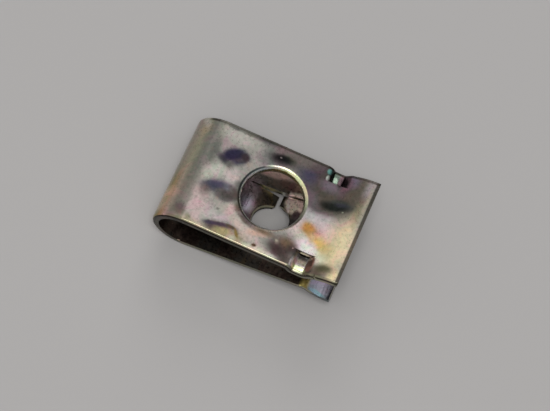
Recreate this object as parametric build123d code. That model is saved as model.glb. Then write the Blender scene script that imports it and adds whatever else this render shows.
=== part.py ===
from build123d import *
import os
from math import acos, atan2, cos, degrees, hypot, radians, sin, tan

# U clip speed nut, cut and folded from one strip of spring steel.
# It is worked out in the clip's own frame: X from the fold's centre line to the open end,
# Y across the strip, Z up from the underside of the fold. At the end it is laid down as it
# rests on a table, on the fold and on the tips of the deeper tongue.

# Driving dimensions, in millimetres and degrees.
width = 12.7            # strip width
sheet = 0.8             # strip thickness
dieRoll = 0.3           # rounded outer corner of the sheared long sides
foldRadius = 3.46       # outside of the fold

upperThroat = 14.5      # fold centre line to the bend where the upper lip starts
upperSlope = 7.4        # the upper leg closes down on the panel
upperRise = 19.0        # its lip rises at this angle after the bend
upperRun = 1.0          # straight part of the lip
upperCurl = 26.0        # the lip levels off by this much
upperCurlRadius = 5.1

lowerSlope = 2.6        # the lower leg closes up on the panel
lowerBack = 0.3         # the lower lip starts this much nearer the fold
lowerFall = 33.0
lowerRun = 0.55
lowerCurl = 36.0
lowerCurlRadius = 3.7
throatRadius = 1.1      # bend where each lip starts

holeRadius = 3.42       # plain clearance hole of the upper leg
holeRim = 0.5           # its rounded rim
screwX = 7.9            # its centre, from the fold's centre line
featureY = 0.13         # hole and tongues sit this far off mid width

threadX = 7.78          # centre of the thread notch, along the lower leg
threadY = -0.3          # and across it
threadRadius = 2.15     # round notch that the tips of both tongues share
tongueWidth = 5.95      # each tongue that grips the thread
slitGap = 0.12          # gap between a tongue and the leg beside it
slitHalf = 3.6          # centre of the notch to the root of each tongue
tipGap = 1.0            # gap between the two tips
tongueRadius = 2.2
deepDip = 28.0          # tongue from the fold side, half a pitch deeper
shallowDip = 12.0       # tongue from the open end
shallowCurl = 30.0      # its tip turns down
curlRadius = 0.9

lugBefore = 2.75        # each lug leaves the leg this far before the upper throat
lugAfter = 0.95         # and joins the lip this far after it
lugLead = 0.5           # flat length at each end of the lug
lugRamp = 0.4           # its steep side, towards the fold
lugFloor = 1.5          # flat bottom of the lug
lugDrop = 1.35          # depth of the lug beside its slit
lugEdge = 0.55          # and at the long side
lugWide = 2.03          # long side to the slit behind the lug
lugY = 0.25             # the two slits sit this far off mid width
lugBend = 0.45

lowerThroat = upperThroat - lowerBack
middle = foldRadius - sheet / 2
beyond = 4 * (upperThroat + foldRadius)   # for cuts that run right through
nearly = sheet / 80                       # for picking edges by their place


def walk(start, heading, steps):
    """Line of straight runs (length,) and bends (radius, angle), each tangent to the last."""
    edges = []
    for step in steps:
        ahead = Vector(cos(radians(heading)), sin(radians(heading)))
        if len(step) == 2:
            edges.append(JernArc(start, ahead, step[0], step[1]))
            heading += step[1]
        else:
            edges.append(Line(start, start + ahead * step[0]))
        start = edges[-1] @ 1
    return edges


def sidePlane(y=0.0):
    """Plane for outlines drawn in X and Z, seen from the near side."""
    return Plane((0, y, 0), x_dir=(1, 0, 0), z_dir=(0, -1, 0))


def band(edges, wide, y=0.0):
    """Sheet of full thickness over a line of its middle plane."""
    return extrude(sidePlane(y) * trace(edges, sheet), amount=wide / 2, both=True)


def leg(way, slope, throat, turn, run, curl, radius):
    """Middle line of one leg, from mid fold to its tip. way is 1 for the upper, -1 for the lower."""
    setback = throatRadius * tan(radians(turn + slope) / 2)
    reach = (throat - middle * sin(radians(slope))) / cos(radians(slope)) - setback
    bends = [(middle, -90 - slope), (reach,), (throatRadius, slope + turn), (run,), (radius, -curl)]
    steps = [(step[0], way * step[1]) if len(step) == 2 else step for step in bends]
    return walk(Vector(-middle, foldRadius), 90 * way, steps)


def legPlane(way, slope):
    """Frame of a leg's straight run: X along it, its origin at the fold's centre line."""
    tilt = -way * radians(slope)
    origin = (0, 0, foldRadius + way * middle / cos(tilt))
    return Plane(origin, x_dir=(cos(tilt), 0, sin(tilt)), z_dir=(-sin(tilt), 0, cos(tilt)))


def onOutside(face):
    """True on the faces that look away from the gap between the legs."""
    spot = face.center(CenterOf.MASS)
    out = face.normal_at(spot)
    isEnd = out.X > 0.8 and spot.X > lowerThroat
    away = Vector(min(spot.X, 0), 0, spot.Z - foldRadius)
    return abs(out.Y) < 0.5 and not isEnd and out.dot(away) > 0


def rolled(body, isOuter):
    """Round the outer corners of the two sheared long sides."""
    skin = [face for face in body.faces() if isOuter(face)]
    atSide = width / 2 - nearly
    return fillet([e for f in skin for e in f.edges() if abs(e.center().Y) > atSide], dieRoll)


def foldedStrip():
    upper = leg(1, upperSlope, upperThroat, upperRise, upperRun, upperCurl, upperCurlRadius)
    lower = leg(-1, lowerSlope, lowerThroat, lowerFall, lowerRun, lowerCurl, lowerCurlRadius)
    return rolled(band(upper, width) + band(lower, width), onOutside)


def clearanceHole(body):
    """Plain hole of the upper leg, with the rounded rim that its punch leaves."""
    upperLeg = legPlane(1, upperSlope)
    centre = Pos(screwX / cos(radians(upperSlope)), featureY, 0)
    body -= upperLeg * centre * Cylinder(holeRadius, 4 * sheet)
    rim = [e for e in body.edges().filter_by(GeomType.CIRCLE) if abs(e.radius - holeRadius) < nearly]
    return fillet(max(rim, key=lambda e: e.center().Z), holeRim)


def throat():
    """The bend of the upper leg, and the ways along and out of the leg and of the lip there."""
    down, up = radians(-upperSlope), radians(upperRise)
    bend = Vector(upperThroat, foldRadius + middle / cos(down) + upperThroat * tan(down))
    return (bend, Vector(cos(down), sin(down)), Vector(-sin(down), cos(down)),
            Vector(cos(up), sin(up)), Vector(-sin(up), cos(up)))


def lugOutline(y, drop):
    """Outline of a lug where it is pressed this deep, on the plane at y."""
    bend, legWay, legOut, lipWay, _ = throat()
    start, end = bend - legWay * lugBefore, bend + lipWay * lugAfter
    rampTop, rampEnd = start + legWay * lugLead, end - lipWay * lugLead
    floorStart = rampTop + legWay * lugRamp - legOut * drop
    floorEnd = floorStart + legWay * lugFloor
    line = FilletPolyline(start, rampTop, floorStart, floorEnd, rampEnd, end, radius=lugBend)
    return (sidePlane(y) * trace(line.edges(), sheet)).face()


def lug(side):
    """One lug, pressed deep beside its slit and less at the long side. side is 1 or -1."""
    slit = lugOutline(side * (width / 2 - lugWide) + lugY, lugDrop)
    strip = loft([slit, lugOutline(side * width / 2, lugEdge)], ruled=True)
    return rolled(strip, lambda f: f.normal_at(f.center()).Z > 0.3)


def addLugs(body):
    """Slit both long sides before the upper throat and press the strips into the gap."""
    bend, legWay, legOut, lipWay, lipOut = throat()
    start, end = bend - legWay * lugBefore, bend + lipWay * lugAfter
    corners = [start + legOut, bend + legOut, end + lipOut, end - lipOut, bend - legOut, start - legOut]
    window = extrude(sidePlane() * make_face(Polyline(*corners, close=True)), amount=width, both=True)
    keep = Pos(0, lugY, 0) * Box(beyond, width - 2 * lugWide, beyond)
    return (body - (window - keep)) + lug(1) + lug(-1)


def tongue(way, steps):
    """One tongue, from its root beside the window to its tip, in the frame of the lower leg."""
    root = Vector(threadX + way * slitHalf, 0)
    heading = 180 if way > 0 else 0
    return band(walk(root, heading, [(s[0], way * s[1]) if len(s) == 2 else s for s in steps]),
                tongueWidth, featureY)


def threadTongues(body):
    """Two tongues lanced from the lower leg, arched outwards and notched round the thread."""
    lowerLeg = legPlane(-1, lowerSlope)
    reach = slitHalf - tipGap / 2
    deep, dip, end = radians(deepDip), radians(shallowDip), radians(shallowDip + shallowCurl)
    deepRun = (reach - tongueRadius * sin(deep)) / cos(deep)
    shallowRun = (reach - tongueRadius * sin(dip) - curlRadius * (sin(end) - sin(dip))) / cos(dip)
    deepTongue = tongue(-1, [(tongueRadius, deepDip), (deepRun,)])
    shallow = tongue(1, [(tongueRadius, shallowDip), (shallowRun,), (curlRadius, shallowCurl)])
    window = Pos(threadX, featureY, 0) * Box(2 * slitHalf, tongueWidth + 2 * slitGap, 4 * sheet)
    notch = Pos(threadX, threadY, 0) * Cylinder(threadRadius, beyond)
    return (body - lowerLeg * window) + lowerLeg * (deepTongue + shallow - notch)


def restAngle():
    """Tilt of the resting clip: the fold and the deep tongue's lower corners touch the table."""
    deep, slope = radians(deepDip), radians(lowerSlope)
    drop = tongueRadius * (1 - cos(deep)) + (slitHalf - tipGap / 2 - tongueRadius * sin(deep)) * tan(deep)
    alongLeg = threadX - tipGap / 2 - sheet / 2 * sin(deep)
    overLeg = -drop - sheet / 2 * cos(deep)
    x = alongLeg * cos(slope) - overLeg * sin(slope)
    z = foldRadius - middle / cos(slope) + alongLeg * sin(slope) + overLeg * cos(slope)
    return degrees(acos(foldRadius / hypot(foldRadius - z, x)) - atan2(x, foldRadius - z))


def build():
    clip = threadTongues(addLugs(clearanceHole(foldedStrip())))
    clip = Rot(0, -restAngle(), 0) * clip
    box = clip.bounding_box()
    toTable = Pos(-(box.min.X + box.max.X) / 2, -(box.min.Y + box.max.Y) / 2, -box.min.Z)
    return toTable * clip, toTable * Rot(0, -restAngle(), 0)


clip, placed = build()
os.makedirs("parts", exist_ok=True)
export_step(clip.solids()[0], "parts/u_clip.step")
size = clip.bounding_box().size
print("solids", len(clip.solids()), "valid", clip.is_valid, "volume mm3", round(clip.volume, 2))
print("size mm", round(size.X, 2), round(size.Y, 2), round(size.Z, 2), "tilt", round(restAngle(), 2))
spots = {"hole": legPlane(1, upperSlope).location * Pos(screwX / cos(radians(upperSlope)), featureY, 0),
         "thread notch": legPlane(-1, lowerSlope).location * Pos(threadX, threadY, 0)}
for name, onLeg in spots.items():
    spot = Plane(placed * onLeg)
    print(name, "centre", [round(v, 4) for v in spot.origin], "axis", [round(v, 5) for v in spot.z_dir])
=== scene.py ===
import bpy
import bmesh
from math import exp, radians
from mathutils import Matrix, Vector
from mathutils.bvhtree import BVHTree


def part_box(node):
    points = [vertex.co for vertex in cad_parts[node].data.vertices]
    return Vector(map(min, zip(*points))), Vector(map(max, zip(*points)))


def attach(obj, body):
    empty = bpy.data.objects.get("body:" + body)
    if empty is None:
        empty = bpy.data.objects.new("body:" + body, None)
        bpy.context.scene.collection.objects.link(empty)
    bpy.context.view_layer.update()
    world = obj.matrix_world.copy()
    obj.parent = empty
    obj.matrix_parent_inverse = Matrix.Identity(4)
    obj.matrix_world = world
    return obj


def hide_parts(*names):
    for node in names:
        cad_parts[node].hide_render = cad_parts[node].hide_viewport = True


# U clip speed nut: one strip of spring steel, cut, pierced and folded, then zinc plated and
# passivated in a chromate bath, which leaves a film of shifting cream, pink, olive and violet.

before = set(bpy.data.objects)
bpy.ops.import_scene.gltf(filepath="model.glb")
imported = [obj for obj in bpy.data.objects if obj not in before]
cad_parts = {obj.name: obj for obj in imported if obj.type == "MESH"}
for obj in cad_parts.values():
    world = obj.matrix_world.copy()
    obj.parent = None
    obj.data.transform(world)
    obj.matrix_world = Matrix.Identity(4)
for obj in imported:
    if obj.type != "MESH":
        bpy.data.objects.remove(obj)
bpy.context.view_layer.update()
scene = bpy.context.scene
mm = 0.001


# sRGB hex text to the linear colour that a socket takes
def linear(hexText):
    parts = [int(hexText[i:i + 2], 16) / 255 for i in (1, 3, 5)]
    return [p / 12.92 if p <= 0.04045 else ((p + 0.055) / 1.055) ** 2.4 for p in parts] + [1.0]


# One node with its settings. An input takes a value, or the output that is linked to it.
# A ramp also takes its stops: place and colour.
def addNode(tree, kind, settings=None, inputs=None, stops=()):
    node = tree.nodes.new(kind)
    for name, value in (settings or {}).items():
        setattr(node, name, value)
    for name, value in (inputs or {}).items():
        if isinstance(value, bpy.types.NodeSocket):
            tree.links.new(value, node.inputs[name])
        else:
            node.inputs[name].default_value = value
    while stops and len(node.color_ramp.elements) < len(stops):
        node.color_ramp.elements.new(0.5)
    for i, (at, colour) in enumerate(stops):
        node.color_ramp.elements[i].position = at
        node.color_ramp.elements[i].color = linear(colour)
    return node


# Camera, floor and light
view = {
    "place": (0.00782, -0.07082, 0.17862),
    "turn": (21.273, -7.038, 22.977),    # degrees
    "lens": 113.891,
    "floor": "#9b9998",
    "floorSize": 3.0,
    "floorRoughness": 0.9,
    "floorGloss": 0.2,
    # the room is pale on the side that this way points to, and dim opposite
    "paleWay": (-0.25, -0.6, 0.75),
    "paleFrom": -0.4,
    "paleFull": 0.95,
    "roomPale": "#ffffff",
    "roomDim": "#5c5b5c",
    "roomStrength": 0.95,
    # soft lamps, all turned to one spot: name, place, width, power in watts
    "lampsMeet": (0, 0, 0.004),
    "lamps": [("window", (-0.14, 0.42, 0.24), 0.3, 0.85),
              ("ceilingPanel", (0.02, -0.12, 0.42), 0.16, 0.85)],
}

camera = bpy.data.cameras.new("camera")
camera.lens = view["lens"]
camera.sensor_width = 36
camera.clip_start = 0.01
cameraObject = bpy.data.objects.new("camera", camera)
cameraObject.location = view["place"]
cameraObject.rotation_euler = [radians(v) for v in view["turn"]]
scene.collection.objects.link(cameraObject)
scene.camera = cameraObject

for name, spot, width, power in view["lamps"]:
    lamp = bpy.data.lights.new(name, "AREA")
    lamp.size = width
    lamp.energy = power
    lampObject = bpy.data.objects.new(name, lamp)
    lampObject.location = spot
    aim = Vector(view["lampsMeet"]) - Vector(spot)
    lampObject.rotation_euler = aim.to_track_quat("-Z", "Y").to_euler()
    scene.collection.objects.link(lampObject)

bpy.ops.mesh.primitive_plane_add(size=view["floorSize"])
floor = bpy.context.object
floor.name = "floor"
floorPaint = bpy.data.materials.new("mattePaper")
floorPaint.use_nodes = True
floorShader = floorPaint.node_tree.nodes["Principled BSDF"]
floorShader.inputs["Base Color"].default_value = linear(view["floor"])
floorShader.inputs["Roughness"].default_value = view["floorRoughness"]
floorShader.inputs["Specular IOR Level"].default_value = view["floorGloss"]
floor.data.materials.append(floorPaint)

room = bpy.data.worlds.new("room")
scene.world = room
room.use_nodes = True
tree = room.node_tree
way = addNode(tree, "ShaderNodeTexCoord").outputs["Generated"]
facing = addNode(tree, "ShaderNodeVectorMath", {"operation": "DOT_PRODUCT"},
                 {0: way, 1: Vector(view["paleWay"]).normalized()}).outputs["Value"]
pale = addNode(tree, "ShaderNodeMapRange", {"interpolation_type": "SMOOTHSTEP"},
               {"Value": facing, "From Min": view["paleFrom"],
                "From Max": view["paleFull"]}).outputs["Result"]
tone = addNode(tree, "ShaderNodeMix", {"data_type": "RGBA"},
               {0: pale, 6: linear(view["roomDim"]), 7: linear(view["roomPale"])}).outputs[2]
tree.links.new(tone, tree.nodes["Background"].inputs["Color"])
tree.nodes["Background"].inputs["Strength"].default_value = view["roomStrength"]
scene.view_settings.view_transform = "Standard"
print("camera, floor and light are set")

# The strip: a copy of the solid's mesh, cut fine enough to carry waves and dents.
# Places are in mm from here on, unless a line says otherwise.
clip = {
    "grid": 0.2,                  # step of the cuts across flat faces
    "sharp": 35,                  # edges sharper than this stay crisp, in degrees
    "foldCentre": (-7.056, 3.46),        # x and z
    "gapMiddle": (-6.7, 0.09),    # middle of the gap: x where it leaves the fold, rise per mm
    "hole": (0.5, 0.13, 3.42),           # x, y, radius
    "notch": (1.0, -0.3, 2.15, 0.18),    # x and y at its height, radius, lean towards the fold
    "notchHeight": 1.8,
    "upperAbove": 5.5,            # the hole's wall is above this, the notch's below the next
    "lowerBelow": 2.6,
    "tipsBeyond": 8.2,            # the ends of both lips are past this x
    "waveHeight": 0.03,
    "wavesPerMm": 0.22,           # so about 4.5 from crest to crest
    "dentDepth": 0.03,
    "dentTop": 6.9,               # height of the middle of each dent
    "dentReach": 2.0,             # and how far above and below it the dent is felt
    # bend of the upper lip: the eased length, how far it is eased, the step of the profile,
    # the line across the strip where it is read, the end of the lip, and the lowest point moved
    "throat": {"start": 5.4, "end": 8.9, "blur": 0.45, "step": 0.1, "line": -3.6,
               "lipEnd": 10.4, "above": 4.5},
    # shallow dents on the upper leg: x, y, half length, half width, turn, share of the depth
    "dents": [
        (-0.35, 4.85, 1.3, 0.7, 5, 0.9),
        (7.0, 2.1, 2.0, 0.8, 8, 1.0),
        (-5.0, 2.9, 1.6, 1.0, 25, 1.0),
        (-4.9, -1.3, 1.7, 0.8, -5, 0.9),
        (-3.0, -5.6, 2.0, 1.0, 0, 0.7),
        (3.5, -4.6, 1.7, 1.2, 0, 0.8),
    ],
}


# Cuts every face along an even grid, so that flat spots can bend
def slicedCopy(node, step):
    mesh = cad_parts[node].data.copy()
    form = bmesh.new()
    form.from_mesh(mesh)
    bmesh.ops.remove_doubles(form, verts=form.verts, dist=0.001 * mm)
    low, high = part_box(node)
    spans = ((Vector((1, 0, 0)), low.x, high.x), (Vector((0, 1, 0)), low.y, high.y))
    for across, start, end in spans:
        at = start + step / 2
        while at < end:
            bmesh.ops.bisect_plane(form, geom=form.verts[:] + form.edges[:] + form.faces[:],
                                   dist=0.002 * mm, plane_co=across * at, plane_no=across)
            at += step
    bmesh.ops.triangulate(form, faces=[f for f in form.faces if len(f.verts) > 4])
    form.to_mesh(mesh)
    form.free()
    mesh.name = "clipStrip"
    mesh.materials.clear()
    return mesh


# True on the walls that the shears and punches left: the long sides, the wall of the hole,
# the wall of the notch, and the ends of the lips. out is the way that the face looks.
def isCut(spot, out):
    holeX, holeY, holeRadius = clip["hole"]
    notchX, notchY, notchRadius, lean = clip["notch"]
    notchX -= lean * (spot.z - clip["notchHeight"])
    fromHole = (Vector(spot.xy) - Vector((holeX, holeY))).length
    fromNotch = (Vector(spot.xy) - Vector((notchX, notchY))).length
    return (abs(out.y) > 0.8
            or spot.z > clip["upperAbove"] and fromHole < holeRadius + 0.02 and abs(out.z) < 0.5
            or spot.z < clip["lowerBelow"] and fromNotch < notchRadius + 0.05 and abs(out.z) < 0.6
            or spot.x > clip["tipsBeyond"] and out.x > 0.75)


# True on the skin that faces the gap between the legs
def isInside(spot, out):
    x, z = clip["foldCentre"]
    if spot.x < x:
        return out.x * (spot.x - x) + out.z * (spot.z - z) < 0
    start, rise = clip["gapMiddle"]
    middle = z + rise * (spot.x - start)
    return out.z < 0 if spot.z > middle else out.z > 0


# Two marks for the finish: where a wall is sheared, and how far through the sheet a point is,
# from 0 on the outer skin to 1 on the inner
def markFinish(mesh):
    spots = [v.co / mm for v in mesh.vertices]
    cut, skins = [], {False: [], True: []}
    for face in mesh.polygons:
        spot, out = face.center / mm, face.normal
        cut.append(1.0 if isCut(spot, out) else 0.0)
        if not cut[-1]:
            skins[isInside(spot, out)].append(list(face.vertices))
    outer, inner = [BVHTree.FromPolygons(spots, skins[side]) for side in (False, True)]
    through = []
    for spot in spots:
        toOuter, toInner = outer.find_nearest(spot)[3], inner.find_nearest(spot)[3]
        through.append(toOuter / max(toOuter + toInner, 0.001))
    mesh.attributes.new("cut", "FLOAT", "FACE").data.foreach_set("value", cut)
    mesh.attributes.new("through", "FLOAT", "POINT").data.foreach_set("value", through)


# The bend of the upper lip, eased into the leg as a press does it: the profile along a line
# that misses the hole and the lugs is averaged, and both skins follow it
def easeThroat(mesh):
    throat = clip["throat"]
    start, blur, step = throat["start"], throat["blur"], throat["step"]
    count = int((throat["end"] - start) / step) + 1
    margin, fade = 20, 8   # steps read past each end, and steps in which the easing sets in
    skin = BVHTree.FromPolygons([v.co / mm for v in mesh.vertices],
                                [list(p.vertices) for p in mesh.polygons])
    along = [start + step * i for i in range(-margin, count + margin)]
    profile = [skin.ray_cast(Vector((x, throat["line"], 20)), Vector((0, 0, -1)))[0].z
               for x in along if x < throat["lipEnd"]]
    eased = []
    for i in range(count):
        weights = [exp(-((k - i - margin) * step / blur) ** 2 / 2) for k in range(len(profile))]
        mean = sum(w * z for w, z in zip(weights, profile)) / sum(weights)
        share = min(1, i / fade, (count - 1 - i) / fade)
        eased.append((mean - profile[i + margin]) * share)
    for vertex in mesh.vertices:
        at = (vertex.co.x / mm - start) / step
        if 0 < at < count - 1 and vertex.co.z > throat["above"] * mm:
            low = int(at)
            vertex.co.z += (eased[low] + (eased[low + 1] - eased[low]) * (at - low)) * mm


strip = bpy.data.objects.new("clipStrip", slicedCopy("u_clip", clip["grid"] * mm))
scene.collection.objects.link(strip)
markFinish(strip.data)
easeThroat(strip.data)
for face in strip.data.polygons:
    face.use_smooth = True
strip.data.set_sharp_from_angle(angle=radians(clip["sharp"]))
print("strip cut into", len(strip.data.polygons), "faces")

# Waves and dents: the sheet is never quite flat after folding and tumbling
zinc = bpy.data.materials.new("chromatedZinc")
tree = bpy.data.node_groups.new("handledSheet", "GeometryNodeTree")
tree.interface.new_socket("Geometry", in_out="OUTPUT", socket_type="NodeSocketGeometry")
for name, kind in (("Geometry", "NodeSocketGeometry"), ("Wave Height", "NodeSocketFloat"),
                   ("Wave Scale", "NodeSocketFloat"), ("Dent Depth", "NodeSocketFloat"),
                   ("Finish", "NodeSocketMaterial")):
    tree.interface.new_socket(name, in_out="INPUT", socket_type=kind)
given = addNode(tree, "NodeGroupInput").outputs
position = addNode(tree, "GeometryNodeInputPosition").outputs[0]
inMm = addNode(tree, "ShaderNodeVectorMath", {"operation": "SCALE"},
               {0: position, "Scale": 1 / mm}).outputs[0]
wave = addNode(tree, "ShaderNodeTexNoise", {"noise_dimensions": "3D"},
               {"Vector": inMm, "Scale": given["Wave Scale"], "Detail": 1.0}).outputs[0]
wave = addNode(tree, "ShaderNodeMath", {"operation": "SUBTRACT"}, {0: wave, 1: 0.5}).outputs[0]
lift = addNode(tree, "ShaderNodeMath", {"operation": "MULTIPLY"},
               {0: wave, 1: given["Wave Height"]}).outputs[0]
for x, y, length, wide, turn, share in clip["dents"]:
    centred = addNode(tree, "ShaderNodeVectorMath", {"operation": "SUBTRACT"},
                      {0: inMm, 1: (x, y, clip["dentTop"])}).outputs[0]
    turned = addNode(tree, "ShaderNodeVectorRotate", {"rotation_type": "Z_AXIS"},
                     {"Vector": centred, "Angle": -radians(turn)}).outputs[0]
    scaled = addNode(tree, "ShaderNodeVectorMath", {"operation": "DIVIDE"},
                     {0: turned, 1: (length, wide, clip["dentReach"])}).outputs[0]
    away = addNode(tree, "ShaderNodeVectorMath", {"operation": "LENGTH"},
                   {0: scaled}).outputs["Value"]
    bowl = addNode(tree, "ShaderNodeMapRange", {"interpolation_type": "SMOOTHSTEP"},
                   {"Value": away, "From Min": 1.2, "From Max": 0.0,
                    "To Min": 0.0, "To Max": -share}).outputs[0]
    bowl = addNode(tree, "ShaderNodeMath", {"operation": "MULTIPLY"},
                   {0: bowl, 1: given["Dent Depth"]}).outputs[0]
    lift = addNode(tree, "ShaderNodeMath", {"operation": "ADD"}, {0: lift, 1: bowl}).outputs[0]
lift = addNode(tree, "ShaderNodeMath", {"operation": "MULTIPLY"}, {0: lift, 1: mm}).outputs[0]
offset = addNode(tree, "ShaderNodeCombineXYZ", inputs={"Z": lift}).outputs[0]
moved = addNode(tree, "GeometryNodeSetPosition",
                inputs={"Geometry": given["Geometry"], "Offset": offset}).outputs[0]
whole = addNode(tree, "GeometryNodeRealizeInstances", inputs={"Geometry": moved}).outputs[0]
finished = addNode(tree, "GeometryNodeSetMaterial",
                   inputs={"Geometry": whole, "Material": given["Finish"]}).outputs[0]
addNode(tree, "NodeGroupOutput", inputs={"Geometry": finished})

handled = strip.modifiers.new("handledSheet", "NODES")
handled.node_group = tree
sockets = {item.name: item.identifier for item in tree.interface.items_tree
           if item.in_out == "INPUT"}
handled[sockets["Wave Height"]] = clip["waveHeight"]
handled[sockets["Wave Scale"]] = clip["wavesPerMm"]
handled[sockets["Dent Depth"]] = clip["dentDepth"]
handled[sockets["Finish"]] = zinc
weighted = strip.modifiers.new("weightedNormals", "WEIGHTED_NORMAL")
weighted.keep_sharp = True
depsgraph = bpy.context.evaluated_depsgraph_get()
dressed = bpy.data.meshes.new_from_object(strip.evaluated_get(depsgraph))
strip.modifiers.clear()
low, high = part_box("u_clip")
for vertex in dressed.vertices:
    vertex.co.z = min(max(vertex.co.z, low.z), high.z)   # no wave leaves the strip's own box
strip.data = dressed
dressed.name = "clipStrip"
print("strip waved and dented")

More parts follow.
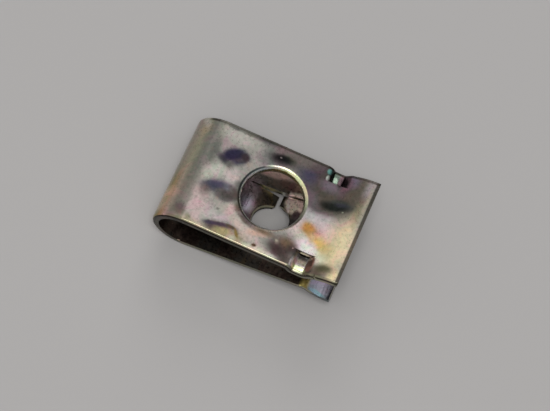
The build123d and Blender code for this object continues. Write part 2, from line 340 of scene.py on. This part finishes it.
# Zinc plate, chromate passivated: a bright metal under a thin film whose depth shifts its colour
# from cream through pink and green to olive, violet and near black where it pooled and dried.
# Much of the colour below is painted light as well: highlights, reflections and shade laid into
# the base colour. All sizes are in mm. Each oval is a soft patch, of film or of painted light:
# x, y, z, half length, half width, turn in degrees, colour, strength, softness.
film = {
    "clear": "#a9a6a4",
    # patterns are given as cells per mm
    "raggedPerMm": 0.9,    # the wander of a stain's edge is about 1.1 long
    "ragged": 0.35,        # and goes this far
    "depthPerMm": 0.6,     # the film's depth changes over about 1.7
    # and tints it pink, neutral and green
    "tints": [(0.34, "#eed8dc"), (0.44, "#e8e0dc"), (0.52, "#d8ddd2"), (0.60, "#e4ded8"),
              (0.70, "#f0e4d6")],
    "tintGain": 1.18,
    # crystals of the deposit are some 0.02 across, and are drawn 0.3 across so that they show
    "specklePerMm": 3.2,
    "speckleGain": (0.88, 1.10),
    "roughness": (0.24, 0.38),
    # grain of the tumbled sheet, drawn 0.25 across where the real one is some 0.05
    "grainPerMm": 4.0,
    "grainDepth": 0.009,
    # round the fold, from the upper leg to the outermost line: at the far side and the near side;
    # film colour with painted reflections in it, the darker grey band partway round is a painted
    # reflection
    "foldStart": -6.6,
    "foldReach": 3.95,
    "foldFarFilmAndReflections": [(0.00, "#ebe6d3"), (0.13, "#c5c0b5"), (0.27, "#94958e"), (0.42, "#83827f"),
                (0.55, "#919186"), (0.68, "#c6c0ab"), (0.80, "#bbb2a4"), (0.88, "#a9a197"),
                (0.96, "#aba698")],
    "foldNearFilmAndReflections": [(0.00, "#cab2af"), (0.13, "#d0c3c2"), (0.25, "#97928f"), (0.42, "#8d8882"),
                 (0.55, "#968d87"), (0.68, "#d1bcb1"), (0.80, "#c2a77f"), (0.88, "#a69867"),
                 (0.96, "#aea48e")],
    # painted light and shade on the rolled rim of the hole, all the way round from the fold side,
    # near
    # side first: on the outer band a bright painted highlight from the tip side round to the far
    # side and painted shade elsewhere, on the inner band a thin painted highlight nearly all round
    "rimOuterLightAndShade": [(0.0, "#3c3f42"), (0.08, "#5b5650"), (0.25, "#5c544d"), (0.45, "#5a524c"),
                 (0.51, "#8f9286"), (0.55, "#c9cdb0"), (0.62, "#d8deb0"), (0.72, "#d5dbb0"),
                 (0.79, "#9a9c90"), (0.86, "#3b4143"), (0.93, "#2b363b"), (1.0, "#3c3f42")],
    "rimInnerLightAndShade": [(0.0, "#eef4ff"), (0.12, "#c9ccd2"), (0.30, "#c2cad6"), (0.45, "#a9a8a4"),
                 (0.55, "#d9deb8"), (0.70, "#e6ecc0"), (0.80, "#8f8f80"), (0.86, "#a8b4bc"),
                 (0.95, "#e6eef6"), (1.0, "#eef4ff")],
    "rimFrom": (0.46, 0.34),        # past the hole's wall, where the outer tone sets in and is full
    "rimInnerFrom": (0.24, 0.12),   # and the inner tone
    "rimAbove": 4.5,
    # skin inside the gap, painted dark as shade between the legs; and the sheared walls from the
    # rolled edge to the burr, painted dark near the rolled edge as a reflection of the shadowed
    # floor
    "inner": [(0.30, "#3b3733"), (0.45, "#5c5149"), (0.56, "#504c4c"), (0.70, "#655c48")],
    "walls": [(0.0, "#3b362d"), (0.30, "#3b362d"), (0.48, "#a5a38f"), (0.85, "#c4c1aa"),
              (1.0, "#6b6558")],
    # painted reflections on the rolled edges of the upper leg, near, far and at the tip: axis,
    # where the tone sets in and is full, colour
    "rolled": [("Y", -6.0, -6.12, "#7b7866"), ("Y", 5.85, 6.05, "#3a3833"),
               ("X", 10.05, 10.2, "#37342c")],
    "rolledAbove": (5.9, 6.4),
    "rolledStrength": 0.85,
    # half height of the ovals: on the upper leg, on the legs' other skins, on the walls
    "upperReach": 3.0,
    "skinReach": 1.2,
    "wallReach": 1.4,
    # film stains on the upper leg with painted light among them: the dark strip along the far edge
    # is a painted reflection, the near-white patches beside the near lug's slit are painted glints,
    # and the pale yellow over the near half of the upper lip is partly a painted reflection
    "stainsAndPaintedLight": [
        (-7.35, 2.54, 7, 0.46, 1.95, 0, "#4a4d52", 0.70, 0.85),
        (-1.32, 4.39, 7, 1.13, 2.10, 16, "#868b8b", 0.80, 0.65),
        (-6.20, 0.55, 7, 1.15, 0.68, 25, "#d2d6ce", 0.80, 0.74),
        (-4.49, 0.46, 7, 0.75, 1.06, 19, "#d7cace", 0.80, 0.63),
        (-5.11, -4.70, 7, 1.54, 1.12, -4, "#c3c9c4", 0.80, 0.77),
        (-6.45, -3.85, 7, 0.80, 2.39, 12, "#d9bfc4", 0.80, 0.95),
        (-1.17, -4.40, 7, 2.83, 0.54, -24, "#decdc9", 0.80, 0.83),
        (0.67, -6.18, 7, 2.00, 0.47, 3, "#ebead4", 0.70, 0.51),
        # painted reflection: the dark mauve-brown over the far right of the upper leg mirrors a
        # dark shape above it
        (2.02, 5.78, 7, 3.90, 1.91, -4, "#776d6d", 0.95, 0.43),
        (4.78, 3.16, 7, 2.59, 3.10, -12, "#574954", 0.95, 0.36),
        (6.93, 3.65, 7, 2.92, 2.81, 32, "#5b5751", 0.95, 0.28),
        (8.56, 4.43, 7, 1.59, 2.83, -7, "#69615a", 0.90, 0.62),
        (9.31, 1.02, 7, 0.53, 2.05, -5, "#9f9476", 0.80, 0.81),
        (2.71, 4.06, 7, 1.25, 0.82, -16, "#5d5b68", 0.80, 0.58),
        (0.17, 4.88, 7, 0.84, 0.37, 4, "#374310", 0.90, 0.67),
        (7.05, 5.73, 7, 0.53, 2.30, 0, "#634b5c", 0.90, 0.81),
        (9.80, 5.33, 7.5, 0.57, 1.15, -12, "#a59fa5", 0.90, 0.71),
        (9.90, 3.29, 7.5, 0.21, 1.98, 0, "#b5ad9d", 0.80, 0.95),
        (-0.35, 4.60, 7, 1.49, 0.69, 5, "#454546", 1.00, 0.64),
        (6.79, 2.19, 7, 1.44, 0.68, 22, "#3e3f3b", 1.00, 0.38),
        (7.59, 2.30, 7, 1.24, 0.51, 3, "#505253", 0.95, 0.81),
        (-4.95, 2.85, 7, 1.49, 1.03, 19, "#4c4c5d", 1.00, 0.35),
        (-4.35, 2.95, 7, 0.81, 0.60, 21, "#524e55", 0.95, 0.26),
        (-6.15, 2.00, 7, 0.91, 0.38, -28, "#272437", 0.80, 0.72),
        (-5.19, 1.71, 7, 0.47, 0.43, 72, "#727170", 0.90, 0.78),
        (-5.50, -1.15, 7, 1.75, 0.75, 12, "#5b5b6e", 0.95, 0.43),
        (-4.14, -1.50, 7, 1.39, 0.97, 13, "#6e696c", 0.95, 0.24),
        (-6.50, -2.00, 7, 0.57, 0.64, -16, "#716262", 0.80, 0.95),
        (-3.10, -5.50, 7, 2.10, 0.84, 3, "#604d54", 0.95, 0.37),
        (-2.55, -6.20, 7, 2.01, 0.95, 17, "#b0a284", 0.95, 0.36),
        (4.46, -0.28, 7, 0.95, 1.08, 14, "#cfc3ce", 0.90, 0.48),
        (5.97, 0.20, 7, 1.51, 0.47, 7, "#b6babb", 0.80, 0.72),
        (7.69, -1.64, 7, 1.69, 1.33, -51, "#fbdfe8", 0.80, 0.62),
        (9.01, -2.00, 7, 1.84, 2.60, 0, "#fbe6ca", 0.85, 0.60),
        (8.54, -4.54, 7, 0.82, 0.90, 40, "#f3d0b8", 0.90, 0.39),
        (9.60, -5.69, 7.5, 0.56, 0.90, -8, "#faeebe", 0.90, 0.57),
        (5.76, -1.80, 7, 0.90, 1.18, -58, "#bc8573", 0.80, 0.79),
        (6.72, -2.81, 7, 1.54, 0.72, -13, "#eec572", 0.95, 0.82),
        (5.22, -1.24, 7, 1.04, 0.63, 40, "#cb9c5f", 0.95, 0.78),
        (5.20, -2.70, 7, 1.60, 0.48, -25, "#dcdbd0", 0.90, 0.69),
        (6.01, -3.46, 7, 1.20, 0.79, -19, "#f5e5f4", 0.95, 0.62),
        (7.85, -4.00, 7, 0.79, 1.09, -9, "#ffffeb", 0.90, 0.90),
        (3.50, -4.80, 7, 1.57, 1.19, -28, "#5b4d4f", 0.95, 0.68),
        (3.90, -3.90, 7, 0.80, 0.54, -12, "#756250", 0.90, 0.88),
        (2.80, -4.25, 7, 0.22, 0.28, 28, "#a3968d", 0.70, 0.76),
        (0.57, -4.35, 7, 1.13, 0.31, 12, "#d8baaf", 0.80, 0.58),
        (0.75, -5.65, 7, 0.27, 0.20, 43, "#70654a", 0.90, 0.81),
        (-4.35, -3.50, 7, 0.13, 0.13, 21, "#7f7f7b", 0.90, 0.66),
        (8.35, -5.35, 7.5, 1.20, 0.69, 12, "#888473", 0.95, 0.57),
        (-1.03, -3.28, 7, 1.01, 0.36, -25, "#614362", 0.80, 0.80),
        (-1.33, -3.48, 7, 0.99, 0.23, -25, "#6a5c56", 0.80, 0.56),
        (-5.32, 5.10, 7, 1.73, 0.74, 0, "#cac6c4", 0.80, 0.80),
        (-4.36, 5.85, 7, 0.90, 0.13, 0, "#646258", 0.80, 0.92),
        (5.80, -0.37, 7, 0.99, 0.55, -25, "#d3d2d8", 0.80, 0.92),
        (-9.53, 5.85, 6.1, 0.31, 0.90, 25, "#e0d9d6", 0.80, 0.80),
        (-10.18, -3.48, 5.6, 0.96, 0.74, 25, "#eaccb2", 0.80, 0.95),
        (-6.25, 5.85, 7, 1.03, 0.13, 0, "#605e60", 0.80, 0.95),
        (1.06, -3.82, 7, 1.10, 0.32, 0, "#785e44", 0.80, 0.80),
        (-3.08, -2.91, 7, 0.58, 0.52, -37, "#d5c3bf", 0.80, 0.56),
        (3.71, -1.71, 7, 0.92, 0.74, 74, "#e9d0d8", 0.80, 0.95),
        (-2.47, -2.48, 7, 0.54, 0.40, -37, "#594d39", 0.80, 0.68),
        (-3.53, -4.28, 7, 0.72, 0.48, 0, "#c7b9c1", 0.80, 0.56),
        (-2.56, 6.05, 7, 1.20, 0.36, 0, "#2f333a", 0.80, 0.80),
        (-10.40, -4.93, 5.3, 0.96, 0.64, 0, "#dac9b5", 0.80, 0.95),
        (-3.36, -0.04, 7, 0.45, 0.50, 38, "#636163", 0.80, 0.68),
        (5.56, 4.05, 7, 0.90, 0.60, 0, "#887a8c", 0.80, 0.95),
        (-1.78, -6.13, 7, 0.44, 0.65, 0, "#d1cdbe", 0.80, 0.80),
        (-6.32, -6.33, 7, 1.59, 0.49, 0, "#c9bb99", 0.80, 0.95),
        (2.75, -6.13, 7, 0.62, 0.28, 0, "#e0e3d9", 0.80, 0.80),
        (-2.00, 3.72, 7, 1.04, 0.38, -25, "#868485", 0.80, 0.80),
        (6.11, -2.26, 7, 0.53, 0.29, 75, "#e2bfaa", 0.80, 0.92),
        (4.36, 1.72, 7, 1.10, 0.64, -50, "#746f74", 0.80, 0.92),
        (6.11, -3.82, 7, 0.62, 0.35, -25, "#f7ffff", 0.80, 0.92),
        (-6.89, -0.39, 7, 0.46, 0.48, 38, "#c2c6bd", 0.80, 0.80),
        (4.56, -4.37, 7, 0.55, 0.52, 12, "#3e3433", 0.80, 0.80),
        (7.58, -6.13, 7.3, 1.20, 0.92, 0, "#68544e", 0.80, 0.68),
        (4.36, -5.93, 7, 0.52, 0.57, 12, "#4d4340", 0.80, 0.80),
        (-3.13, -1.26, 7, 0.72, 0.60, -50, "#524d45", 0.80, 0.80),
        (-4.44, -0.93, 7, 0.46, 0.29, -75, "#727782", 0.80, 0.80),
        (-8.02, -5.35, 6.7, 0.61, 0.41, -25, "#7c7062", 0.80, 0.80),
        (-0.69, -5.15, 7, 0.52, 0.28, -25, "#d2bdb6", 0.80, 0.80),
        (-8.11, -4.95, 6.8, 0.46, 0.48, 25, "#756069", 0.80, 0.80),
        (-1.89, -5.31, 7, 0.31, 0.23, -25, "#ae9c94", 0.80, 0.80),
        (7.49, 5.63, 7.4, 0.77, 0.80, 25, "#827b92", 0.80, 0.80),
        (-6.89, -5.71, 7, 0.35, 0.28, -50, "#98937d", 0.80, 0.80),
    ],
    # crisp cores of the stains, over the soft ones, with painted light among them: the mint-white
    # streak beside the near lug's slit and the small light dots in the dark ovals are painted
    # glints, the bluish tone in the oval near the tip is a painted sheen, and the pale yellow of
    # the lip is partly a painted reflection
    "coresAndGlints": [
        (-5.3, 2.95, 7, 1.05, 0.6, 28, "#2b2a44", 0.8, 0.4),
        (-4.0, 3.2, 7, 0.45, 0.5, 0, "#40333a", 0.7, 0.5),
        (-0.3, 4.85, 7, 0.95, 0.42, 5, "#1c1c1e", 0.95, 0.6),
        (-0.5, 4.88, 7, 0.12, 0.1, 0, "#8a8a88", 0.8, 0.5),
        (6.9, 2.0, 7, 1.45, 0.46, 8, "#232625", 0.9, 0.55),
        (7.6, 2.45, 7, 0.7, 0.25, 10, "#434350", 0.7, 0.6),
        (8.0, 1.65, 7.3, 0.1, 0.08, 0, "#b5b8a8", 0.8, 0.5),
        (-5.6, -1.1, 7, 0.95, 0.38, 12, "#494a60", 0.8, 0.5),
        (-4.1, -1.7, 7, 0.75, 0.45, -15, "#4c4a46", 0.7, 0.6),
        (-4.5, -5.3, 7, 0.7, 0.22, 14, "#4b4458", 0.9, 0.5),
        (-3.4, -4.98, 7, 0.7, 0.2, 14, "#4d4252", 0.9, 0.5),
        (-2.3, -4.82, 7, 0.55, 0.16, -8, "#5e5040", 0.9, 0.5),
        (-1.5, -5.25, 7, 0.5, 0.16, -50, "#8c7645", 0.9, 0.5),
        (-2.9, -5.55, 7, 0.9, 0.35, 5, "#b1a77e", 0.8, 0.6),
        (3.1, 4.2, 7, 0.75, 0.6, 0, "#474560", 0.7, 0.8),
        (7.3, 5.0, 7.1, 0.5, 0.9, 0, "#7a5c6a", 0.8, 0.6),
        (5.3, -1.35, 7, 0.6, 0.46, 0, "#c39552", 0.8, 0.7),
        (7.5, -2.8, 7, 1.25, 0.65, -36, "#e2c878", 0.7, 0.95),
        (8.9, -2.5, 7.7, 0.9, 2.1, 0, "#e9dfb0", 0.6, 0.9),
        (6.2, -3.5, 7, 0.9, 0.32, -8, "#f6fcf4", 0.9, 0.6),
        (3.1, -5.0, 7, 1.0, 0.6, -10, "#443938", 0.75, 0.7),
        (8.5, -5.2, 7.5, 0.8, 0.35, 10, "#5c5844", 0.8, 0.6),
        (2.7, -4.1, 7, 0.16, 0.12, 0, "#b9ada2", 0.8, 0.6),
        (0.75, -5.65, 7, 0.22, 0.14, 0, "#55402f", 0.9, 0.5),
    ],
    # the two lugs, mostly painted light: glints on the ramps, bright painted reflections on the
    # near lug's floor, and painted shade on the far lug's floor and its ramp; the teal spot and the
    # near lug's pinkish ramp are film colour
    "lugStainsAndPaintedLight": [
        (6.05, -5.0, 6.0, 0.8, 0.75, 0, "#f6f0f8", 1.0, 0.15),
        (5.95, -5.8, 6.2, 0.85, 0.4, 0, "#f4ffd8", 1.0, 0.3),
        (7.0, -5.0, 6.6, 0.35, 0.9, 0, "#b88f84", 0.95, 0.2),
        (6.85, -4.3, 6.4, 0.2, 0.18, 0, "#fff0e6", 1.0, 0.3),
        (5.1, -5.6, 6.8, 0.22, 0.6, 0, "#f0ecf4", 0.95, 0.4),
        (4.95, 5.65, 6.9, 0.26, 0.3, 0, "#8ccfcf", 0.9, 0.6),
        (5.0, 4.9, 6.85, 0.2, 0.3, 0, "#f4fbfa", 1.0, 0.4),
        (5.75, 5.6, 6.1, 0.6, 0.9, 0, "#2f3833", 1.0, 0.3),
        (5.85, 5.35, 6.1, 0.22, 0.3, 30, "#56665c", 1.0, 0.5),
        (6.5, 5.3, 6.0, 0.35, 1.0, 0, "#352c30", 1.0, 0.3),
        (7.1, 5.4, 6.4, 0.3, 0.8, 0, "#5c4a52", 0.95, 0.3),
    ],
    # inside the gap: painted light on the tongues, the right one painted bright where light falls
    # on it through the hole, with a bright painted line along its edge and dark painted reflections
    # on it, the left one with a bluish painted highlight; film colours on the lower lip's inner
    # face
    "innerStainsAndPaintedLight": [
        (-0.5, 5.0, 2.0, 2.3, 0.55, 3, "#8f7874", 0.95, 0.4),
        (1.6, 4.2, 2.3, 1.6, 0.5, 0, "#56433f", 0.9, 0.5),
        (2.7, 4.3, 2.6, 0.6, 0.5, 0, "#8a6c62", 0.8, 0.6),
        (-2.4, 1.2, 1.6, 1.6, 2.6, 0, "#8a7a82", 0.95, 0.3),
        (-2.2, 0.5, 1.6, 0.7, 0.9, 0, "#b9b4c8", 0.95, 0.8),
        (-1.8, -1.1, 1.6, 0.8, 0.8, 0, "#4f464d", 0.9, 0.5),
        (-0.7, 1.7, 1.4, 0.6, 1.1, 0, "#5a524c", 0.9, 0.5),
        (2.9, 2.5, 2.2, 1.3, 1.2, 0, "#fff0e0", 1.0, 0.2),
        (3.5, 1.1, 2.5, 0.5, 0.7, 20, "#4c4145", 0.95, 0.35),
        (3.3, 0.2, 2.4, 0.5, 0.5, 0, "#383335", 0.95, 0.4),
        (2.2, 2.0, 2.0, 0.16, 1.3, 12, "#fffaf4", 1.0, 0.5),
        (7.3, -5.8, 3.3, 0.5, 1.0, 0, "#e4ce83", 1.0, 0.4),
        (8.4, -5.5, 2.9, 0.7, 1.1, 0, "#c4c6df", 1.0, 0.5),
        (9.6, -5.1, 2.6, 0.8, 1.4, 0, "#d4cfea", 1.0, 0.4),
        (8.9, -6.15, 2.8, 1.0, 0.25, -3, "#b2ddf0", 1.0, 0.4),
        (10.35, -5.6, 2.6, 0.26, 1.0, 0, "#44444f", 0.9, 0.4),
    ],
    # underneath
    "underStains": [
        (-5.5, 3.0, 0.6, 1.6, 1.0, 20, "#5b5b6e", 0.9, 0.5),
        (-4.0, -3.2, 0.8, 1.9, 0.9, -12, "#6e696c", 0.85, 0.5),
        (-1.0, 5.2, 1.2, 2.6, 0.6, 4, "#604d54", 0.85, 0.6),
        (2.5, -5.3, 1.4, 2.8, 0.7, -5, "#776d6d", 0.8, 0.6),
        (5.6, 3.6, 2.0, 2.2, 1.6, -15, "#5d5664", 0.85, 0.5),
        (6.5, -2.5, 2.4, 1.6, 1.0, 30, "#dcbc74", 0.7, 0.8),
        (8.8, 1.5, 2.6, 1.0, 3.2, 5, "#c8b58e", 0.7, 0.7),
        (-7.4, 0.2, 0.4, 0.9, 3.5, 0, "#8a8d88", 0.6, 0.9),
    ],
    # on the sheared walls: painted shade, dark reflections of the shadowed floor, on the near walls
    # of the upper leg and the fold's end and on the wall at the tip; a bright painted reflection on
    # the walls of the slit in the lower leg; film colours on the rest
    "wallStainsAndPaintedLight": [
        (-1.5, -6.35, 6.5, 8.5, 0.6, 0, "#35302a", 0.8, 0.2),
        (10.3, 0.0, 7.8, 0.4, 7.0, 0, "#3d3b30", 0.9, 0.3),
        (-9.4, -6.35, 3.6, 1.9, 0.6, 0, "#332c26", 0.9, 0.2),
        (-8.6, -6.35, 1.5, 2.2, 0.6, 0, "#3d372c", 0.85, 0.3),
        (-8.3, -6.35, 5.6, 1.8, 0.6, 0, "#332c26", 0.85, 0.3),
        (-3.4, -6.35, 0.9, 3.6, 0.6, 0, "#85846e", 0.8, 0.4),
        (3.2, -6.35, 1.9, 4.2, 0.6, 0, "#7d7f6c", 0.85, 0.4),
        (-0.6, 3.2, 1.8, 1.1, 0.3, 0, "#f7f9e1", 1.0, 0.4),
        (1.7, 3.2, 1.9, 0.6, 0.3, 0, "#ffffff", 1.0, 0.4),
        (0.5, 3.5, 6.4, 3.2, 1.5, 0, "#85774a", 0.9, 0.3),
        (9.6, -6.35, 2.3, 1.2, 0.4, 0, "#54656e", 0.9, 0.4),
    ],
}


# Lays soft ovals over a colour: film stains, and painted highlights, reflections and shade. Each is
# centred and turned by the gradient's own mapping: with this many, a Mapping node for each is more
# than the renderer's shader can hold.
def layStainsAndPaintedLight(tree, colour, place, stainsAndPaintedLight, reach):
    for x, y, z, length, wide, turn, ovalColour, strength, soft in stainsAndPaintedLight:
        oval = addNode(tree, "ShaderNodeTexGradient", {"gradient_type": "SPHERICAL"}, {0: place})
        oval.texture_mapping.vector_type = "TEXTURE"
        oval.texture_mapping.translation = (x, y, z)
        oval.texture_mapping.rotation = (0, 0, radians(turn))
        oval.texture_mapping.scale = [size * (1 + soft) for size in (length, wide, reach)]
        mask = addNode(tree, "ShaderNodeMapRange", {"interpolation_type": "SMOOTHSTEP"},
                       {"Value": oval.outputs["Fac"], "From Max": 2 * soft / (1 + soft),
                        "To Max": strength}).outputs[0]
        colour = addNode(tree, "ShaderNodeMix", {"data_type": "RGBA"},
                         {0: mask, 6: colour, 7: linear(ovalColour)}).outputs[2]
    return colour


zinc.use_nodes = True
tree = zinc.node_tree
shader = tree.nodes["Principled BSDF"]
place = addNode(tree, "ShaderNodeTexCoord").outputs["Object"]
inMm = addNode(tree, "ShaderNodeVectorMath", {"operation": "SCALE"},
               {0: place, "Scale": 1 / mm}).outputs[0]
ragged = addNode(tree, "ShaderNodeTexNoise",
                 inputs={"Vector": inMm, "Scale": film["raggedPerMm"], "Detail": 3.0,
                         "Roughness": 0.5}).outputs["Color"]
ragged = addNode(tree, "ShaderNodeVectorMath", {"operation": "SUBTRACT"},
                 {0: ragged, 1: (0.5, 0.5, 0.5)}).outputs[0]
spread = (film["ragged"], film["ragged"], 0)
shifted = addNode(tree, "ShaderNodeVectorMath", {"operation": "MULTIPLY_ADD"},
                  {0: ragged, 1: spread, 2: inMm}).outputs[0]
axes = addNode(tree, "ShaderNodeSeparateXYZ", inputs={0: shifted}).outputs
exact = addNode(tree, "ShaderNodeSeparateXYZ", inputs={0: inMm}).outputs

# film colour round the fold, in bands, with painted reflections in them
band = addNode(tree, "ShaderNodeMapRange",
               inputs={"Value": axes["X"], "From Min": film["foldStart"],
                       "From Max": film["foldStart"] - film["foldReach"]}).outputs[0]
nearSide = addNode(tree, "ShaderNodeMapRange", {"interpolation_type": "SMOOTHSTEP"},
                   {"Value": axes["Y"], "From Min": 1.0, "From Max": -3.0}).outputs[0]
farFoldFilmAndReflection = addNode(tree, "ShaderNodeValToRGB", inputs={"Fac": band}, stops=film["foldFarFilmAndReflections"])
nearFoldFilmAndReflection = addNode(tree, "ShaderNodeValToRGB", inputs={"Fac": band}, stops=film["foldNearFilmAndReflections"])
foldFilmAndReflection = addNode(tree, "ShaderNodeMix", {"data_type": "RGBA"},
                   {0: nearSide, 6: farFoldFilmAndReflection.outputs[0], 7: nearFoldFilmAndReflection.outputs[0]}).outputs[2]
atFold = addNode(tree, "ShaderNodeMapRange", {"interpolation_type": "SMOOTHSTEP"},
                 {"Value": band, "From Min": 0.03, "From Max": 0.25}).outputs[0]
colour = addNode(tree, "ShaderNodeMix", {"data_type": "RGBA"},
                 {0: atFold, 6: linear(film["clear"]), 7: foldFilmAndReflection}).outputs[2]
# film stains with painted reflections and glints among them
colour = layStainsAndPaintedLight(tree, colour, shifted, film["stainsAndPaintedLight"] + film["coresAndGlints"], film["upperReach"])
colour = layStainsAndPaintedLight(tree, colour, inMm, film["lugStainsAndPaintedLight"], film["upperReach"])
colour = layStainsAndPaintedLight(tree, colour, shifted, film["underStains"], film["skinReach"])

# painted reflections on the rolled edges of each long side and the tip, and painted highlight and
# shade round the rim of the hole
low, high = film["rolledAbove"]
onLeg = addNode(tree, "ShaderNodeMapRange", {"interpolation_type": "SMOOTHSTEP"},
                {"Value": exact["Z"], "From Min": low, "From Max": high,
                 "To Max": film["rolledStrength"]}).outputs[0]
for along, start, full, rolledTone in film["rolled"]:
    mask = addNode(tree, "ShaderNodeMapRange", {"interpolation_type": "SMOOTHSTEP"},
                   {"Value": exact[along], "From Min": start, "From Max": full,
                    "To Max": onLeg}).outputs[0]
    colour = addNode(tree, "ShaderNodeMix", {"data_type": "RGBA"},
                     {0: mask, 6: colour, 7: linear(rolledTone)}).outputs[2]
x, y, radius = clip["hole"]
fromHole = addNode(tree, "ShaderNodeVectorMath", {"operation": "MULTIPLY_ADD"},
                   {0: inMm, 1: (1, 1, 0), 2: (-x, -y, 0)}).outputs[0]
away = addNode(tree, "ShaderNodeVectorMath", {"operation": "LENGTH"},
               {0: fromHole}).outputs["Value"]
aroundHole = addNode(tree, "ShaderNodeTexGradient", {"gradient_type": "RADIAL"},
                     {0: fromHole}).outputs["Fac"]
start, full = film["rimInnerFrom"]
innerRim = addNode(tree, "ShaderNodeMapRange", {"interpolation_type": "SMOOTHSTEP"},
                   {"Value": away, "From Min": radius + start,
                    "From Max": radius + full}).outputs[0]
# painted highlight and shade round the rim, by angle
outerRimLightAndShade = addNode(tree, "ShaderNodeValToRGB", inputs={"Fac": aroundHole}, stops=film["rimOuterLightAndShade"])
innerRimLightAndShade = addNode(tree, "ShaderNodeValToRGB", inputs={"Fac": aroundHole}, stops=film["rimInnerLightAndShade"])
rimLightAndShade = addNode(tree, "ShaderNodeMix", {"data_type": "RGBA"},
              {0: innerRim, 6: outerRimLightAndShade.outputs[0], 7: innerRimLightAndShade.outputs[0]}).outputs[2]
start, full = film["rimFrom"]
atRim = addNode(tree, "ShaderNodeMapRange", {"interpolation_type": "SMOOTHSTEP"},
                {"Value": away, "From Min": radius + start, "From Max": radius + full,
                 "To Max": 0.95}).outputs[0]
onUpper = addNode(tree, "ShaderNodeMath", {"operation": "GREATER_THAN"},
                  {0: exact["Z"], 1: film["rimAbove"]}).outputs[0]
atRim = addNode(tree, "ShaderNodeMath", {"operation": "MULTIPLY"},
                {0: atRim, 1: onUpper}).outputs[0]
colour = addNode(tree, "ShaderNodeMix", {"data_type": "RGBA"},
                 {0: atRim, 6: colour, 7: rimLightAndShade}).outputs[2]

# inside the gap and on the sheared walls: painted shade, with the stains and painted light laid
# over it
depth = addNode(tree, "ShaderNodeTexNoise",
                inputs={"Vector": inMm, "Scale": film["depthPerMm"], "Detail": 5.0,
                        "Roughness": 0.6, "Distortion": 0.6}).outputs["Fac"]
through = addNode(tree, "ShaderNodeAttribute", {"attribute_name": "through"}).outputs["Fac"]
sheared = addNode(tree, "ShaderNodeAttribute", {"attribute_name": "cut"}).outputs["Fac"]
inner = addNode(tree, "ShaderNodeValToRGB", inputs={"Fac": depth}, stops=film["inner"]).outputs[0]
inner = layStainsAndPaintedLight(tree, inner, shifted, film["innerStainsAndPaintedLight"], film["skinReach"])
colour = addNode(tree, "ShaderNodeMix", {"data_type": "RGBA"},
                 {0: through, 6: colour, 7: inner}).outputs[2]
walls = addNode(tree, "ShaderNodeValToRGB", inputs={"Fac": through}, stops=film["walls"]).outputs[0]
walls = layStainsAndPaintedLight(tree, walls, shifted, film["wallStainsAndPaintedLight"], film["wallReach"])
colour = addNode(tree, "ShaderNodeMix", {"data_type": "RGBA"},
                 {0: sheared, 6: colour, 7: walls}).outputs[2]

# tints and a fine mottling over all of it
tints = addNode(tree, "ShaderNodeValToRGB", inputs={"Fac": depth}, stops=film["tints"]).outputs[0]
tint = addNode(tree, "ShaderNodeMix", {"data_type": "RGBA", "blend_type": "MULTIPLY"},
               {0: 1.0, 6: colour, 7: tints}).outputs[2]
speckle = addNode(tree, "ShaderNodeTexNoise",
                  inputs={"Vector": inMm, "Scale": film["specklePerMm"], "Detail": 4.0,
                          "Roughness": 0.7}).outputs["Fac"]
low, high = [gain * film["tintGain"] for gain in film["speckleGain"]]
gain = addNode(tree, "ShaderNodeMapRange",
               inputs={"Value": speckle, "From Min": 0.3, "From Max": 0.7,
                       "To Min": low, "To Max": high}).outputs[0]
colour = addNode(tree, "ShaderNodeVectorMath", {"operation": "SCALE"},
                 {0: tint, "Scale": gain}).outputs[0]
low, high = film["roughness"]
rough = addNode(tree, "ShaderNodeMapRange",
                inputs={"Value": speckle, "From Min": 0.3, "From Max": 0.7,
                        "To Min": low, "To Max": high}).outputs[0]
grain = addNode(tree, "ShaderNodeTexNoise",
                inputs={"Vector": inMm, "Scale": film["grainPerMm"], "Detail": 3.0,
                        "Roughness": 0.6}).outputs["Fac"]
bump = addNode(tree, "ShaderNodeBump",
               inputs={"Height": grain, "Distance": film["grainDepth"] * mm,
                       "Strength": 1.0}).outputs[0]
tree.links.new(colour, shader.inputs["Base Color"])
tree.links.new(rough, shader.inputs["Roughness"])
tree.links.new(bump, shader.inputs["Normal"])
shader.inputs["Metallic"].default_value = 1
print("zinc plate and its film are laid")

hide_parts("u_clip")
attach(strip, "root")
